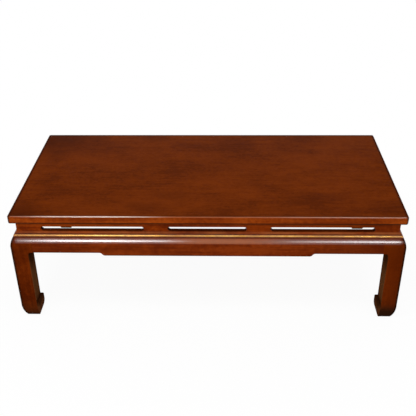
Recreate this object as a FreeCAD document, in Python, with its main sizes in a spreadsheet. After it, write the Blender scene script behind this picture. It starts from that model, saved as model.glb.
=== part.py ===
import FreeCAD, Part
import math
import os
import Sketcher

# Low table of the waisted kind: a top, a pierced waist set back under it, a gilt moulding, bulging aprons
# and four horse-hoof legs. Millimetres, Z up, origin on the floor under the middle of the table.
# X runs along the length, and the front is at -Y.

# The driving sizes. Each becomes a named cell of the sheet.
SIZES = [
    # table top
    ("top_length", 1274.0),
    ("top_width", 614.0),
    ("table_height", 406.0),
    ("top_thickness", 27.6),
    ("veneer_thickness", 1.0),
    ("lipping_width", 28.0),
    ("tongue_length", 8.0),
    ("tongue_thickness", 8.0),
    ("top_arris_radius", 2.6),
    ("under_arris_radius", 5.5),
    ("top_corner_radius", 6.5),
    # pierced waist
    ("waist_height", 42.8),
    ("waist_inset", 18.0),
    ("waist_thickness", 16.0),
    ("flare_height", 8.6),
    ("flare_reach", 6.4),
    ("flare_radius", 30.0),
    ("slot_height", 16.0),
    ("slot_rail", 6.4),
    ("slot_margin", 78.5),
    ("slot_divider", 76.0),
    ("middle_slot_length", 256.0),
    # gilt moulding
    ("moulding_height", 11.6),
    ("moulding_ledge", 1.4),
    ("moulding_fillet", 2.2),
    ("quirk_depth", 1.2),
    ("quirk_height", 1.1),
    ("bead_setback", 4.0),
    ("bead_radius", 6.2),
    # aprons
    ("frame_proud", 4.6),
    ("apron_height", 53.6),
    ("apron_thickness", 32.0),
    ("shoulder_height", 34.0),
    ("shoulder_setback", 9.4),
    ("drop_depth", 10.6),
    ("drop_run", 19.0),
    ("tenon_length", 30.0),
    ("tenon_thickness", 12.0),
    ("tenon_shoulder", 8.0),
    ("tenon_haunch", 10.0),
    # legs
    ("leg_width", 55.2),
    ("ankle_width", 54.0),
    ("ear_length", 15.4),
    ("ear_fillet_radius", 4.0),
    ("hoof_curve_height", 53.0),
    ("hoof_tuck", 12.8),
    ("toe_height", 60.0),
    ("toe_reach", 8.5),
    ("toe_round", 7.0),
    ("toe_curve_height", 36.0),
    ("post_tenon_width", 11.0),
    ("post_tenon_length", 14.0),
    # hidden framing under the top
    ("cleat_width", 16.0),
    ("cleat_height", 18.0),
    ("batten_width", 50.0),
    ("block_wing", 58.6),
    ("block_height", 36.0),
    ("block_lift", 10.0),
    # fastenings
    ("fit_gap", 0.2),
    ("end_gap", 0.8),
    ("dowel_radius", 3.0),
    ("dowel_length", 38.0),
    ("dowel_inset", 22.8),
    ("screw_radius", 2.1),
    ("screw_length", 30.0),
    ("screw_head_radius", 4.2),
    ("screw_head_height", 2.4),
    ("screw_seat_depth", 12.0),
    ("lag_radius", 4.0),
    ("lag_length", 60.0),
    ("lag_head_width", 13.0),
    ("lag_head_height", 5.5),
    ("washer_radius", 9.0),
    ("washer_thickness", 1.6),
    # how far a cut runs past what it cuts
    ("overrun", 6.0),
]

# Shares of the sizes that they follow.
drop_share = 0.618
cleat_screw_shares = (-0.8, 0.0, 0.8)
end_cleat_screw_shares = (0.0,)
batten_screw_shares = (-0.5, 0.5)
corner_share = 1.0 - math.sqrt(0.5)
diagonal_share = math.sqrt(0.5)
block_screw_share = 0.62

# Sides and corners in order round the table. Each is a quarter turn on from the one before.
SIDES = ["front", "right", "back", "left"]
CORNERS = ["front_left", "front_right", "back_right", "back_left"]
QUARTER_TURN = 90.0

# Dowels, screws and their holes have this many flats, which keeps their facets few.
OCTAGON = 8
HEXAGON = 6


class Size:
    """A length that knows its number and the sheet formula that gives it."""

    def __init__(self, number, formula):
        self.number = number
        self.formula = formula

    def join(self, sign, other, number):
        text = other.formula if isinstance(other, Size) else repr(float(other))
        return Size(number, "(%s %s %s)" % (self.formula, sign, text))

    def __add__(self, other):
        return self.join("+", other, self.number + plain(other))

    def __sub__(self, other):
        return self.join("-", other, self.number - plain(other))

    def __mul__(self, other):
        return self.join("*", other, self.number * plain(other))

    def __truediv__(self, other):
        return self.join("/", other, self.number / plain(other))

    def __neg__(self):
        return self * -1


def plain(value):
    """The number of a Size, or a plain number as it is."""
    return value.number if isinstance(value, Size) else float(value)


doc = FreeCAD.newDocument("table")
sheet = doc.addObject("Spreadsheet::Sheet", "Sizes")
for row, (alias, number) in enumerate(SIZES, start=1):
    sheet.set("A%d" % row, alias)
    sheet.set("B%d" % row, str(number))
    sheet.setAlias("B%d" % row, alias)
doc.recompute()
S = {alias: Size(number, "Sizes." + alias) for alias, number in SIZES}
zero = Size(0, "0")

# Levels above the floor.
under_top = S["table_height"] - S["top_thickness"]
core_top = S["table_height"] - S["veneer_thickness"]
waist_bottom = under_top - S["waist_height"]
apron_top = waist_bottom - S["moulding_height"]
apron_bottom = apron_top - S["apron_height"]
drop_bottom = apron_bottom - S["drop_depth"]
slot_bottom = waist_bottom + S["slot_rail"]
slot_top = slot_bottom + S["slot_height"]
slot_middle = (slot_bottom + slot_top) / 2
shoulder_low = apron_top - S["shoulder_height"]
tenon_low = apron_bottom + S["tenon_shoulder"]
tenon_high = apron_top - S["tenon_haunch"]
block_low = apron_bottom + S["block_lift"]
block_middle = block_low + S["block_height"] / 2
cleat_low = under_top - S["cleat_height"]

# Distances inwards from the side of the top.
face = -S["frame_proud"]
waist_back = S["waist_inset"] + S["waist_thickness"]
shoulder_edge = face + S["shoulder_setback"]
apron_back = face + S["apron_thickness"]
leg_back = face + S["leg_width"]
ankle_back = face + S["ankle_width"]
joint_line = leg_back + S["ear_length"]
tenon_front = face + (S["apron_thickness"] - S["tenon_thickness"]) / 2
tenon_back = tenon_front + S["tenon_thickness"]
post_face = waist_back + S["fit_gap"]
post_middle = (post_face + leg_back) / 2
cleat_back = waist_back + S["cleat_width"]
block_reach = leg_back + S["block_wing"]

half_length = S["top_length"] / 2
half_width = S["top_width"] / 2


def half_side(turns):
    """Half the length of the table along the side that is this many quarter turns from the front."""
    return half_width if turns % 2 else half_length


def edge_distance(turns):
    """How far that side of the top is from the middle of the table."""
    return half_length if turns % 2 else half_width


def bind(thing, path, value):
    """Tie one property of a feature to the sheet."""
    if isinstance(value, Size):
        thing.setExpression(path, value.formula)


def new_body(name):
    body = doc.addObject("PartDesign::Body", name)
    body.Label = name
    return body


def put_on_side(part, turns):
    """Turn a part that is made for the front to its side. X of the part runs along the top's front edge."""
    distance = edge_distance(turns)
    places = [(zero, -distance), (distance, zero), (zero, distance), (-distance, zero)]
    put_at(part, places[turns], turns)


def put_in_corner(part, turns):
    """Turn a part that is made for the front left corner of the top to its own corner."""
    places = [(-half_length, -half_width), (half_length, -half_width),
              (half_length, half_width), (-half_length, half_width)]
    put_at(part, places[turns], turns)


def put_at(part, place, turns):
    up = FreeCAD.Vector(0, 0, 1)
    base = FreeCAD.Vector(plain(place[0]), plain(place[1]), 0)
    part.Placement = FreeCAD.Placement(base, FreeCAD.Rotation(up, turns * QUARTER_TURN))
    bind(part, "Placement.Base.x", place[0])
    bind(part, "Placement.Base.y", place[1])


def sketch_on(body, name, role, lift=None):
    """A sketch on one of the body's own planes, or that far along the plane's normal."""
    sketch = body.newObject("Sketcher::SketchObject", name)
    plane = [feature for feature in body.Origin.OriginFeatures if feature.Role == role][0]
    sketch.AttachmentSupport = [(plane, "")]
    sketch.MapMode = "FlatFace"
    if lift is not None:
        sketch.AttachmentOffset = FreeCAD.Placement(FreeCAD.Vector(0, 0, plain(lift)), FreeCAD.Rotation())
        bind(sketch, "AttachmentOffset.Base.z", lift)
    return sketch


def arc_between(start, end, radius):
    """The arc that turns left from start to end, or right where the radius is negative."""
    chord = end - start
    middle = (start + end) * 0.5
    left = FreeCAD.Vector(-chord.y, chord.x, 0).normalize()
    rise = math.sqrt(max(radius * radius - chord.Length ** 2 / 4, 0.0))
    centre = middle + left * math.copysign(rise, radius)
    circle = Part.Circle(centre, FreeCAD.Vector(0, 0, 1), abs(radius))
    first, last = (start, end) if radius > 0 else (end, start)
    angles = [math.atan2(point.y - centre.y, point.x - centre.x) for point in (first, last)]
    return Part.ArcOfCircle(circle, angles[0], angles[1])


def draw(sketch, corners):
    """A closed outline. A corner is (x, y), or (x, y, radius) where an arc leads to it."""
    offset = sketch.GeometryCount
    points = [FreeCAD.Vector(plain(corner[0]), plain(corner[1]), 0) for corner in corners]
    count = len(corners)
    ends = []
    for index, corner in enumerate(corners):
        start, end = points[index - 1], points[index]
        radius = plain(corner[2]) if len(corner) > 2 else 0
        if radius:
            sketch.addGeometry(arc_between(start, end, radius), False)
        else:
            sketch.addGeometry(Part.LineSegment(start, end), False)
        ends.append((1, 2) if radius >= 0 else (2, 1))
    rules = []
    for index in range(count):
        following = (index + 1) % count
        rules.append(Sketcher.Constraint("Coincident", offset + index, ends[index][1],
                                         offset + following, ends[following][0]))
    sketch.addConstraint(rules)
    for index, corner in enumerate(corners):
        spot = (offset + index, ends[index][1])
        for kind, value in (("DistanceX", corner[0]), ("DistanceY", corner[1])):
            number = sketch.addConstraint(Sketcher.Constraint(kind, -1, 1, *spot, plain(value)))
            bind(sketch, "Constraints[%d]" % number, value)
        if len(corner) > 2:
            size = corner[2] if plain(corner[2]) > 0 else -corner[2]
            number = sketch.addConstraint(Sketcher.Constraint("Radius", offset + index, plain(size)))
            bind(sketch, "Constraints[%d]" % number, size)


def pad(body, sketch, length, symmetric=False, reverse=False):
    feature = body.newObject("PartDesign::Pad", sketch.Name + "_pad")
    feature.Profile = sketch
    feature.SideType = "Symmetric" if symmetric else "One side"
    feature.Reversed = reverse
    feature.Length = plain(length)
    bind(feature, "Length", length)
    doc.recompute()
    return feature


def cut(body, sketch, length=None, symmetric=False, reverse=False):
    """Cut a pocket, right through where no length is given, and check that wood came off."""
    before = body.Shape.Volume
    feature = body.newObject("PartDesign::Pocket", sketch.Name + "_cut")
    feature.Profile = sketch
    feature.SideType = "Symmetric" if symmetric else "One side"
    feature.Reversed = reverse
    if length is None:
        feature.Type = "ThroughAll"
    else:
        feature.Length = plain(length)
        bind(feature, "Length", length)
    doc.recompute()
    if not body.Shape.Volume < before:
        raise RuntimeError("%s: %s removed nothing" % (body.Label, sketch.Name))
    return feature


def bore(body, name, radius, length, place, axis):
    """Drill a hole that starts at a place and runs along an axis."""
    before = body.Shape.Volume
    hole = body.newObject("PartDesign::SubtractivePrism", name)
    hole.Polygon = OCTAGON
    turn = FreeCAD.Rotation(FreeCAD.Vector(0, 0, 1), FreeCAD.Vector(*axis))
    hole.Placement = FreeCAD.Placement(FreeCAD.Vector(*[plain(value) for value in place]), turn)
    for path, value in zip(("x", "y", "z"), place):
        bind(hole, "Placement.Base." + path, value)
    hole.Circumradius = plain(radius)
    hole.Height = plain(length)
    bind(hole, "Circumradius", radius)
    bind(hole, "Height", length)
    doc.recompute()
    if not body.Shape.Volume < before:
        raise RuntimeError("%s: %s removed nothing" % (body.Label, name))


def rectangle(low_x, low_y, high_x, high_y):
    return [(low_x, low_y), (high_x, low_y), (high_x, high_y), (low_x, high_y)]


def fillet_edges(body, name, radius, wanted):
    """Round the edges of the body whose bounding boxes the test picks."""
    base = body.Tip
    names = ["Edge%d" % number for number, edge in enumerate(base.Shape.Edges, start=1) if wanted(edge)]
    feature = body.newObject("PartDesign::Fillet", name)
    feature.Base = (base, names)
    feature.Radius = plain(radius)
    bind(feature, "Radius", radius)
    doc.recompute()
    return feature


def at_level(edge, level):
    """Whether an edge lies flat at a level."""
    close = plain(S["fit_gap"]) / 2
    box = edge.BoundBox
    return abs(box.ZMin - plain(level)) < close and abs(box.ZMax - plain(level)) < close


def mitre_ends(body, half, reach):
    """Cut both ends of a side piece at 45 degrees through the corners of the top."""
    past = S["overrun"]
    for name, sign in (("left", -1), ("right", 1)):
        sketch = sketch_on(body, name + "_mitre", "XY_Plane")
        inner = reach + past
        corners = [((half + past) * sign, -past),
                   ((half - inner) * sign, inner),
                   ((half + past) * sign, inner)]
        draw(sketch, corners)
        cut(body, sketch, reverse=True)


def rounded_slab(body, level, thickness):
    """The rounded plan of the whole top, raised from a level."""
    sketch = sketch_on(body, "plan", "XY_Plane", level)
    radius = S["top_corner_radius"]
    x, y = half_length, half_width
    inner_x, inner_y = x - radius, y - radius
    draw(sketch, [(inner_x, -y), (x, -inner_y, radius), (x, inner_y), (inner_x, y, radius),
                  (-inner_x, y), (-x, inner_y, radius), (-x, -inner_y), (-inner_x, -y, radius)])
    pad(body, sketch, thickness)


def make_top_veneer():
    """Face veneer, rounded over at its edge together with the lippings under it."""
    body = new_body("top_veneer")
    rounded_slab(body, under_top, S["top_thickness"])
    fillet_edges(body, "eased_edge", S["top_arris_radius"], lambda edge: at_level(edge, S["table_height"]))
    below = sketch_on(body, "below_veneer", "XY_Plane", core_top)
    past = S["overrun"]
    draw(below, rectangle(-half_length - past, -half_width - past, half_length + past, half_width + past))
    cut(body, below)


def make_top_core():
    """Board under the veneer, tongued all round for the lippings and bored for the posts and screws."""
    body = new_body("top_core")
    inner_x = half_length - S["lipping_width"]
    inner_y = half_width - S["lipping_width"]
    plan = sketch_on(body, "plan", "XY_Plane", under_top)
    draw(plan, rectangle(-inner_x, -inner_y, inner_x, inner_y))
    pad(body, plan, S["top_thickness"] - S["veneer_thickness"])
    reach = S["tongue_length"]
    tongue = sketch_on(body, "tongue", "XY_Plane", tongue_low())
    draw(tongue, rectangle(-inner_x - reach, -inner_y - reach, inner_x + reach, inner_y + reach))
    pad(body, tongue, S["tongue_thickness"])
    half = S["post_tenon_width"] / 2 + S["fit_gap"]
    mortises = sketch_on(body, "post_mortises", "XY_Plane", under_top)
    for sign_x in (-1, 1):
        for sign_y in (-1, 1):
            x = (half_length - post_middle) * sign_x
            y = (half_width - post_middle) * sign_y
            draw(mortises, rectangle(x - half, y - half, x + half, y + half))
    cut(body, mortises, S["post_tenon_length"] + S["end_gap"], reverse=True)
    depth = S["screw_length"] - S["cleat_height"] + S["end_gap"]
    for number, (x, y) in enumerate(top_screw_places(), start=1):
        bore(body, "pilot_%d" % number, S["screw_radius"] + S["fit_gap"], depth, (x, y, under_top), (0, 0, 1))


def tongue_low():
    """Underside of the tongue that joins the core and its lippings."""
    return under_top + (S["top_thickness"] - S["veneer_thickness"] - S["tongue_thickness"]) / 2


def make_lipping(side, turns):
    """Solid edge strip of the top, mitred at the corners and grooved for the core's tongue."""
    body = new_body("lipping_" + side)
    half = half_side(turns)
    radius = S["top_corner_radius"]
    width = S["lipping_width"]
    near = radius * corner_share
    plan = sketch_on(body, "plan", "XY_Plane", under_top)
    draw(plan, [(width - half, width), (near - half, near), (radius - half, zero, radius),
                (half - radius, zero), (half - near, near, radius), (half - width, width)])
    pad(body, plan, S["top_thickness"])
    inner = plain(width) - plain(S["fit_gap"])

    def outer(level):
        return lambda edge: at_level(edge, level) and edge.BoundBox.YMax < inner and not is_mitre(edge)

    fillet_edges(body, "eased_edge", S["top_arris_radius"], outer(S["table_height"]))
    fillet_edges(body, "rounded_underside", S["under_arris_radius"], outer(under_top))
    above = sketch_on(body, "above_core", "XY_Plane", core_top)
    past = S["overrun"]
    draw(above, rectangle(-half - past, -past, half + past, width + past))
    cut(body, above, reverse=True)
    groove = sketch_on(body, "groove", "YZ_Plane")
    draw(groove, rectangle(width - S["tongue_length"], tongue_low(), width + past,
                           tongue_low() + S["tongue_thickness"]))
    cut(body, groove, half * 2, symmetric=True)
    put_on_side(body, turns)


def is_mitre(edge):
    """Whether a flat edge runs at 45 degrees in plan."""
    box = edge.BoundBox
    return len(edge.Vertexes) == 2 and edge.Curve.TypeId == "Part::GeomLine" and abs(
        box.XLength - box.YLength) < plain(S["fit_gap"])


def slot_outline(low, high):
    """A slot with round ends between two places along a waist board."""
    radius = S["slot_height"] / 2
    return [(low + radius, slot_bottom), (high - radius, slot_bottom), (high, slot_middle, radius),
            (high - radius, slot_top, radius), (low + radius, slot_top), (low, slot_middle, radius),
            (low + radius, slot_bottom, radius)]


def slot_spans(turns):
    """Where the slots of one waist board begin and end: three on a long side, two on a short one."""
    outer = half_side(turns) - S["waist_inset"] - S["slot_margin"]
    if turns % 2:
        inner = S["slot_divider"] / 2
        return [(-outer, -inner), (inner, outer)]
    middle = S["middle_slot_length"] / 2
    inner = middle + S["slot_divider"]
    return [(-outer, -inner), (-middle, middle), (inner, outer)]


def make_waist(side, turns):
    """Pierced waist board with a coved foot, mitred to its neighbours."""
    body = new_body("waist_" + side)
    half = half_side(turns)
    front, back = S["waist_inset"], waist_back
    flare, rise = S["flare_reach"], S["flare_height"]
    section = sketch_on(body, "section", "YZ_Plane")
    draw(section, [(front, under_top), (front, waist_bottom + rise),
                   (front - flare, waist_bottom, -S["flare_radius"]), (back, waist_bottom), (back, under_top)])
    pad(body, section, (half - front + flare) * 2, symmetric=True)
    mitre_ends(body, half, back)
    slots = sketch_on(body, "slots", "XZ_Plane")
    for low, high in slot_spans(turns):
        draw(slots, slot_outline(low, high)[:-1])
    cut(body, slots)
    bore_dowels(body, turns, waist_bottom, dowel_top() - waist_bottom + S["end_gap"])
    put_on_side(body, turns)


def make_moulding(side, turns):
    """Gilt bead between two quirks, over a fillet, mitred at the corners and laid flat on the apron."""
    body = new_body("gilt_moulding_" + side)
    half = half_side(turns)
    low, high = apron_top, waist_bottom
    foot = shoulder_edge + S["moulding_ledge"]
    step, quirk = S["quirk_depth"], S["quirk_height"]
    fillet_top = low + S["moulding_fillet"]
    bead_foot, bead_low = foot + step, fillet_top + quirk
    bead_head, bead_high = bead_foot + S["bead_setback"], high - quirk
    section = sketch_on(body, "section", "YZ_Plane")
    draw(section, [(foot, low), (foot, fillet_top), (bead_foot + step, fillet_top),
                   (bead_foot + step, bead_low), (bead_foot, bead_low),
                   (bead_head, bead_high, -S["bead_radius"]), (bead_head + step, bead_high),
                   (bead_head + step, high), (waist_back, high), (waist_back, low)])
    pad(body, section, (half - foot) * 2, symmetric=True)
    mitre_ends(body, half, waist_back)
    bore_dowels(body, turns, low, S["moulding_height"])
    put_on_side(body, turns)


def dowel_top():
    return (apron_top + waist_bottom + S["dowel_length"]) / 2


def dowel_places(turns):
    """Where the dowels stand along one side: in the dividers of the waist and beside its ends."""
    spans = slot_spans(turns)
    dividers = [(spans[index][1] + spans[index + 1][0]) / 2 for index in range(len(spans) - 1)]
    end = (spans[-1][1] + half_side(turns) - joint_line) / 2
    return [-end] + dividers + [end]


def bore_dowels(body, turns, level, depth):
    for number, place in enumerate(dowel_places(turns), start=1):
        bore(body, "dowel_hole_%d" % number, S["dowel_radius"] + S["fit_gap"], depth,
             (place, S["dowel_inset"], level), (0, 0, 1))


def shoulder_radius():
    """Radius of the bulge that leaves the face upright and reaches the edge of the apron's top."""
    rise, depth = S["shoulder_height"], S["shoulder_setback"]
    return (rise * rise + depth * depth) / depth / 2


def make_apron(side, turns):
    """Bulging apron with a dropped middle, tenoned into a leg at each end."""
    body = new_body("apron_" + side)
    end = half_side(turns) - joint_line
    section = sketch_on(body, "section", "YZ_Plane")
    draw(section, [(face, drop_bottom), (face, shoulder_low), (shoulder_edge, apron_top, -shoulder_radius()),
                   (apron_back, apron_top), (apron_back, drop_bottom)])
    pad(body, section, end * 2, symmetric=True)
    cut_drop(body, end)
    gap = S["fit_gap"]
    tenon = sketch_on(body, "tenon", "YZ_Plane")
    draw(tenon, rectangle(tenon_front + gap, tenon_low + gap, tenon_back - gap, tenon_high - gap))
    pad(body, tenon, (end + S["tenon_length"]) * 2, symmetric=True)
    depth = S["dowel_length"] - (dowel_top() - apron_top) + S["end_gap"]
    bore_dowels(body, turns, apron_top - depth, depth + S["overrun"])
    for number, sign in enumerate((-1, 1), start=1):
        place = ((half_side(turns) - block_screw_along()) * sign, apron_back, block_middle)
        bore(body, "block_pilot_%d" % number, S["screw_radius"] + S["fit_gap"],
             apron_screw_depth() + S["end_gap"], place, (0, -1, 0))
    put_on_side(body, turns)


def cut_drop(body, end):
    """Saw the lower edge up on each side of the dropped middle, with an ogee between the two levels."""
    run, depth = S["drop_run"], S["drop_depth"]
    radius = (run * run + depth * depth) / depth / 4
    outer = end * drop_share
    inner = outer - run
    past = S["overrun"]
    for name, sign in (("left", -1), ("right", 1)):
        sketch = sketch_on(body, name + "_of_drop", "XZ_Plane")
        draw(sketch, [(inner * sign, drop_bottom),
                      ((outer - run / 2) * sign, drop_bottom + depth / 2, radius * sign),
                      (outer * sign, apron_bottom, -radius * sign),
                      ((end + past) * sign, apron_bottom),
                      ((end + past) * sign, drop_bottom - past),
                      (inner * sign, drop_bottom - past)])
        cut(body, sketch, S["apron_thickness"] * 2 + past, symmetric=True)


def leg_outline():
    """Elevation of a leg, the same from both outer faces: shoulder, straight shaft, tucked hoof and toe."""
    tuck, curve = S["hoof_tuck"], S["hoof_curve_height"]
    hoof_radius = (tuck * tuck + curve * curve) / tuck / 2
    reach, low = S["toe_reach"], S["toe_curve_height"]
    toe_back, toe_top = ankle_back + reach, S["toe_height"]
    toe_radius = (reach * reach + low * low) / reach / 2
    fillet = S["ear_fillet_radius"]
    return [(shoulder_edge, apron_top),
            (face, shoulder_low, shoulder_radius()),
            (face, curve),
            (face + tuck, zero, hoof_radius),
            (ankle_back, zero),
            (toe_back, low, toe_radius),
            (toe_back, toe_top - S["toe_round"]),
            (toe_back - S["toe_round"], toe_top, S["toe_round"]),
            (ankle_back, toe_top),
            (leg_back, apron_bottom - fillet),
            (leg_back + fillet, apron_bottom, -fillet),
            (joint_line, apron_bottom),
            (joint_line, apron_top)]


def make_leg(corner, turns):
    """Horse-hoof leg, sawn from two faces of a square blank, then notched, mortised and given its post."""
    body = new_body("leg_" + corner)
    past = S["overrun"]
    front = sketch_on(body, "front_elevation", "XZ_Plane", S["frame_proud"])
    draw(front, leg_outline())
    pad(body, front, S["frame_proud"] + joint_line, reverse=True)
    side = sketch_on(body, "side_elevation", "YZ_Plane")
    draw(side, leg_outline())
    draw(side, rectangle(face - past, -past, joint_line + past, apron_top + past))
    cut(body, side, (joint_line + past) * 2, symmetric=True)
    cut_notch(body)
    post = sketch_on(body, "post", "XY_Plane", apron_top)
    draw(post, rectangle(post_face, post_face, leg_back, leg_back))
    pad(body, post, under_top - apron_top)
    half = S["post_tenon_width"] / 2
    tenon = sketch_on(body, "post_tenon", "XY_Plane", under_top)
    draw(tenon, rectangle(post_middle - half, post_middle - half, post_middle + half, post_middle + half))
    pad(body, tenon, S["post_tenon_length"])
    cut_mortises(body)
    reach = lag_tip() - S["end_gap"]
    bore(body, "lag_pilot", S["lag_radius"] + S["fit_gap"], (leg_back + past) / diagonal_share,
         (reach, reach, block_middle), (1, 1, 0))
    put_in_corner(body, turns)


def cut_notch(body):
    """Cut the inner corner of the leg's head back to the shaft, which leaves an ear for each apron."""
    notch = sketch_on(body, "notch", "XY_Plane", apron_bottom - S["ear_fillet_radius"])
    far = joint_line + S["overrun"]
    draw(notch, [(leg_back, apron_back), (far, apron_back), (far, far), (apron_back, far),
                 (apron_back, leg_back), (leg_back, leg_back)])
    cut(body, notch, reverse=True)


def cut_mortises(body):
    """One mortise from the end of each ear, for the tenon of the apron that meets it."""
    depth = S["tenon_length"] + S["end_gap"]
    outline = rectangle(tenon_front, tenon_low, tenon_back, tenon_high)
    along = sketch_on(body, "front_mortise", "YZ_Plane", joint_line)
    draw(along, outline)
    cut(body, along, depth)
    across = sketch_on(body, "side_mortise", "XZ_Plane", -joint_line)
    draw(across, outline)
    cut(body, across, depth, reverse=True)


def hypotenuse_middle():
    """Distance inwards, along both axes, of the middle of a corner block's long face."""
    return (block_reach + apron_back) / 2


def lag_tip():
    """Distance inwards, along both axes, of the point of a lag screw."""
    return hypotenuse_middle() - S["lag_length"] * diagonal_share


def block_screw_along():
    """Distance from the corner of the top, along an apron, of the screw through the block."""
    return leg_back + S["block_wing"] * block_screw_share


def block_screw_seat():
    """Distance inwards of the seat under the head of that screw."""
    return block_reach + apron_back - block_screw_along() - S["screw_seat_depth"]


def apron_screw_depth():
    return S["screw_length"] - (block_screw_seat() - apron_back)


def make_corner_block(corner, turns):
    """Triangular block, notched round the leg, with seats for its screws."""
    body = new_body("corner_block_" + corner)
    plan = sketch_on(body, "plan", "XY_Plane", block_low)
    draw(plan, [(leg_back, apron_back), (block_reach, apron_back), (apron_back, block_reach),
                (apron_back, leg_back), (leg_back, leg_back)])
    pad(body, plan, S["block_height"])
    along, seat = block_screw_along(), block_screw_seat()
    shank, head = S["screw_radius"] + S["fit_gap"], S["screw_head_radius"] + S["fit_gap"]
    past = S["overrun"]
    for name, place, seated, axis in (
            ("front", (along, apron_back - past, block_middle), (along, seat, block_middle), (0, 1, 0)),
            ("side", (apron_back - past, along, block_middle), (seat, along, block_middle), (1, 0, 0))):
        bore(body, name + "_hole", shank, S["block_wing"], place, axis)
        bore(body, name + "_seat", head, S["block_wing"], seated, axis)
    low = leg_back - past
    bore(body, "lag_hole", S["lag_radius"] + S["fit_gap"], S["lag_length"],
         (low, low, block_middle), (1, 1, 0))
    put_in_corner(body, turns)


def make_cleat(side, turns):
    """Cleat along the head of a waist board, which carries the screws up into the top."""
    body = new_body("top_cleat_" + side)
    end = half_side(turns) - leg_back - S["fit_gap"]
    plan = sketch_on(body, "plan", "XY_Plane", cleat_low)
    draw(plan, rectangle(-end, waist_back, end, cleat_back))
    pad(body, plan, S["cleat_height"])
    for number, along in enumerate(cleat_screws(turns), start=1):
        bore(body, "screw_hole_%d" % number, S["screw_radius"] + S["fit_gap"], S["cleat_height"],
             (along, cleat_middle(), cleat_low), (0, 0, 1))
    put_on_side(body, turns)


def cleat_middle():
    return (waist_back + cleat_back) / 2


def cleat_screws(turns):
    shares = end_cleat_screw_shares if turns % 2 else cleat_screw_shares
    return [(half_side(turns) - leg_back) * share for share in shares]


def batten_offset():
    """Distance of a batten from the middle of the table, behind the divider of the long waist boards."""
    return (S["middle_slot_length"] + S["slot_divider"]) / 2


def make_batten(side, sign):
    """Batten across the underside of the top, between the long cleats."""
    body = new_body("top_batten_" + side)
    middle = batten_offset() * sign
    half = S["batten_width"] / 2
    end = half_width - cleat_back
    plan = sketch_on(body, "plan", "XY_Plane", cleat_low)
    draw(plan, rectangle(middle - half, -end, middle + half, end))
    pad(body, plan, S["cleat_height"])
    for number, share in enumerate(batten_screw_shares, start=1):
        bore(body, "screw_hole_%d" % number, S["screw_radius"] + S["fit_gap"], S["cleat_height"],
             (middle, end * share, cleat_low), (0, 0, 1))


def on_side(along, inward, turns):
    """Table X and Y of a place given along a side and inwards from the edge of the top."""
    depth = inward - edge_distance(turns)
    return [(along, depth), (-depth, along), (-along, -depth), (depth, -along)][turns]


def in_corner(inward_x, inward_y, turns):
    """Table X and Y of a place given inwards from both edges at the front left corner, turned to another."""
    along = [(half_length, half_width), (half_width, half_length)][turns % 2]
    x, y = inward_x - along[0], inward_y - along[1]
    return [(x, y), (-y, x), (-x, -y), (y, -x)][turns]


def top_screw_places():
    """Where the screws go up into the top, through the cleats and through the battens."""
    places = []
    for turns, side in enumerate(SIDES):
        places += [on_side(along, cleat_middle(), turns) for along in cleat_screws(turns)]
    for sign in (-1, 1):
        places += [(batten_offset() * sign, (half_width - cleat_back) * share)
                   for share in batten_screw_shares]
    return places


def rod(name, flats, radius, length, level):
    """A straight piece with that many flats, whose base is that far up its own axis."""
    piece = doc.addObject("Part::Prism", name)
    piece.Polygon = flats
    for path, value in (("Circumradius", radius), ("Height", length)):
        setattr(piece, path, plain(value))
        bind(piece, path, value)
    piece.Placement = FreeCAD.Placement(FreeCAD.Vector(0, 0, plain(level)), FreeCAD.Rotation())
    bind(piece, "Placement.Base.z", level)
    return piece


def fused(name, pieces, place, axis):
    """One fastener, fused from its shank and its head, with its axis turned and its seat put in place."""
    whole = doc.addObject("Part::MultiFuse", name)
    whole.Shapes = pieces
    set_place(whole, place, axis)
    return whole


def set_place(piece, place, axis):
    turn = FreeCAD.Rotation(FreeCAD.Vector(0, 0, 1), FreeCAD.Vector(*axis))
    piece.Placement = FreeCAD.Placement(FreeCAD.Vector(*[plain(value) for value in place]), turn)
    for path, value in zip(("x", "y", "z"), place):
        bind(piece, "Placement.Base." + path, value)


def wood_screw(name, place, axis):
    """Pan-headed wood screw: its head is below the seat and its shank above."""
    head = rod(name + "_head", OCTAGON, S["screw_head_radius"], S["screw_head_height"], -S["screw_head_height"])
    shank = rod(name + "_shank", OCTAGON, S["screw_radius"], S["screw_length"], zero)
    return fused(name, [head, shank], place, axis)


def lag_screw(name, place, axis):
    """Hexagon-headed lag screw, whose head bears on a washer."""
    thick = S["washer_thickness"]
    corner_radius = S["lag_head_width"] / 2 / math.cos(math.pi / HEXAGON)
    head = rod(name + "_head", HEXAGON, corner_radius, S["lag_head_height"], -S["lag_head_height"] - thick)
    shank = rod(name + "_shank", OCTAGON, S["lag_radius"], S["lag_length"] + thick, -thick)
    return fused(name, [head, shank], place, axis)


def washer(name, place, axis):
    ring = doc.addObject("Part::Cut", name)
    thick = S["washer_thickness"]
    ring.Base = rod(name + "_disc", OCTAGON * 2, S["washer_radius"], thick, -thick)
    ring.Tool = rod(name + "_eye", OCTAGON, S["lag_radius"] + S["fit_gap"], thick, -thick)
    set_place(ring, place, axis)
    return ring


def group(name, pieces):
    """Identical fasteners kept together as one node of separate solids."""
    whole = doc.addObject("Part::Compound", name)
    whole.Label = name
    whole.Links = pieces
    return whole


def direction(turns):
    """The unit step along a side that is this many quarter turns from the front."""
    angle = math.radians(turns * QUARTER_TURN)
    return (round(math.cos(angle)), round(math.sin(angle)))


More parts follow.
